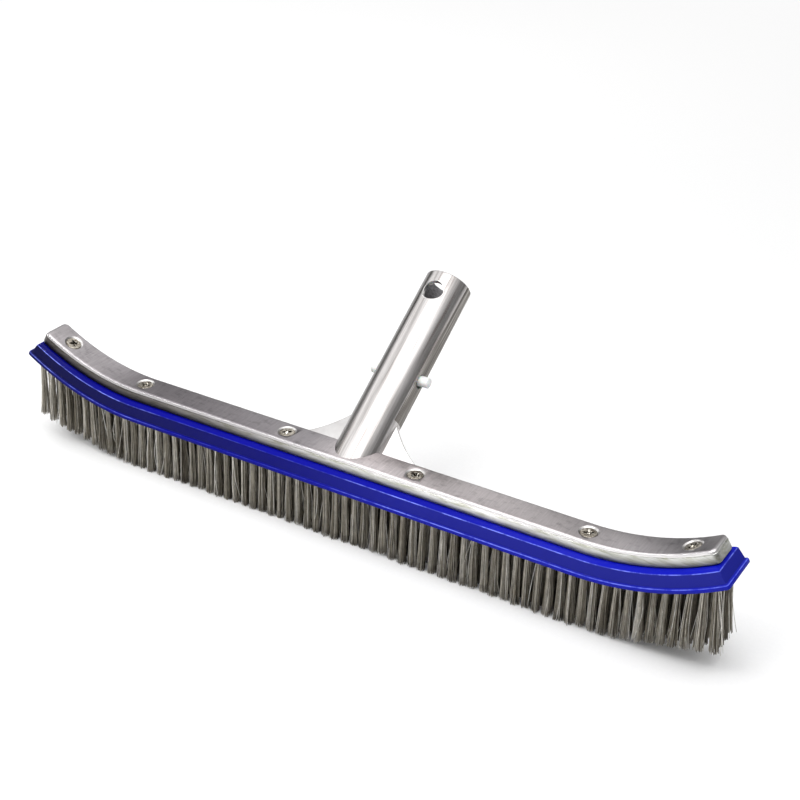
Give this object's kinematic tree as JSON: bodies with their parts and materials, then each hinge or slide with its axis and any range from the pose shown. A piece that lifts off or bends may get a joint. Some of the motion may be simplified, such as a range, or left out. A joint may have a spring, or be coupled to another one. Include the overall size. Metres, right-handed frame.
{
  "type": "pool wall brush",
  "caption": "Curved pool wall brush: aluminium back with a leaning handle tube and sprung clip, blue block and rows of steel wire tufts.",
  "frame": {"origin": "middle of the bristle tips' plane, under the middle of the block", "axes": "+X along the brush, -Z out of the bristle tips towards the surface being brushed, +Y the side that the handle leans to"},
  "size_m": [0.4574, 0.1301, 0.1262],
  "materials": {
    "cast_aluminium": "satin brushed along the back's width, polished edges and tube",
    "blue_plastic": "glossy moulded",
    "steel_wire": "dull drawn wire",
    "nickel": "bright plated",
    "white_nylon": "satin moulded"
  },
  "bodies": {
    "brush": {"handle_casting": "cast_aluminium", "brush_block": "blue_plastic", "screw_1": "nickel", "screw_2": "nickel", "screw_3": "nickel", "screw_4": "nickel", "screw_5": "nickel", "screw_6": "nickel", "tuft_group_01": "steel_wire", "tuft_group_02": "steel_wire", "tuft_group_03": "steel_wire", "tuft_group_04": "steel_wire", "tuft_group_05": "steel_wire", "tuft_group_06": "steel_wire", "tuft_group_07": "steel_wire", "tuft_group_08": "steel_wire", "tuft_group_09": "steel_wire", "tuft_group_10": "steel_wire", "tuft_group_11": "steel_wire", "tuft_group_12": "steel_wire", "tuft_group_13": "steel_wire", "tuft_group_14": "steel_wire", "tuft_group_15": "steel_wire", "tuft_group_16": "steel_wire", "tuft_group_17": "steel_wire", "tuft_group_18": "steel_wire", "tuft_group_19": "steel_wire", "tuft_group_20": "steel_wire", "tuft_group_21": "steel_wire", "tuft_group_22": "steel_wire", "tuft_group_23": "steel_wire", "tuft_group_24": "steel_wire", "tuft_group_25": "steel_wire", "tuft_group_26": "steel_wire", "tuft_group_27": "steel_wire", "tuft_group_28": "steel_wire", "tuft_group_29": "steel_wire", "tuft_group_30": "steel_wire", "tuft_group_31": "steel_wire", "tuft_group_32": "steel_wire", "tuft_group_33": "steel_wire", "tuft_group_34": "steel_wire", "tuft_group_35": "steel_wire", "clip_bend": "white_nylon"},
    "left_button": {"clip_leg_left": "white_nylon"},
    "right_button": {"clip_leg_right": "white_nylon"}
  },
  "joints": [
    {"name": "left_button_press", "type": "hinge", "parent": "brush", "child": "left_button", "pos_m": [-0.0043, 0.0929, 0.10456], "axis": [0, -0.5707, 0.8211], "range_deg": [0, 7.4], "stiffness_Nm_per_rad": 1.5, "springref_deg": -3.44},
    {"name": "right_button_press", "type": "hinge", "parent": "brush", "child": "right_button", "pos_m": [0.0043, 0.0929, 0.10456], "axis": [0, 0.5707, -0.8211], "range_deg": [0, 7.4], "stiffness_Nm_per_rad": 1.5, "springref_deg": -3.44}
  ]
}
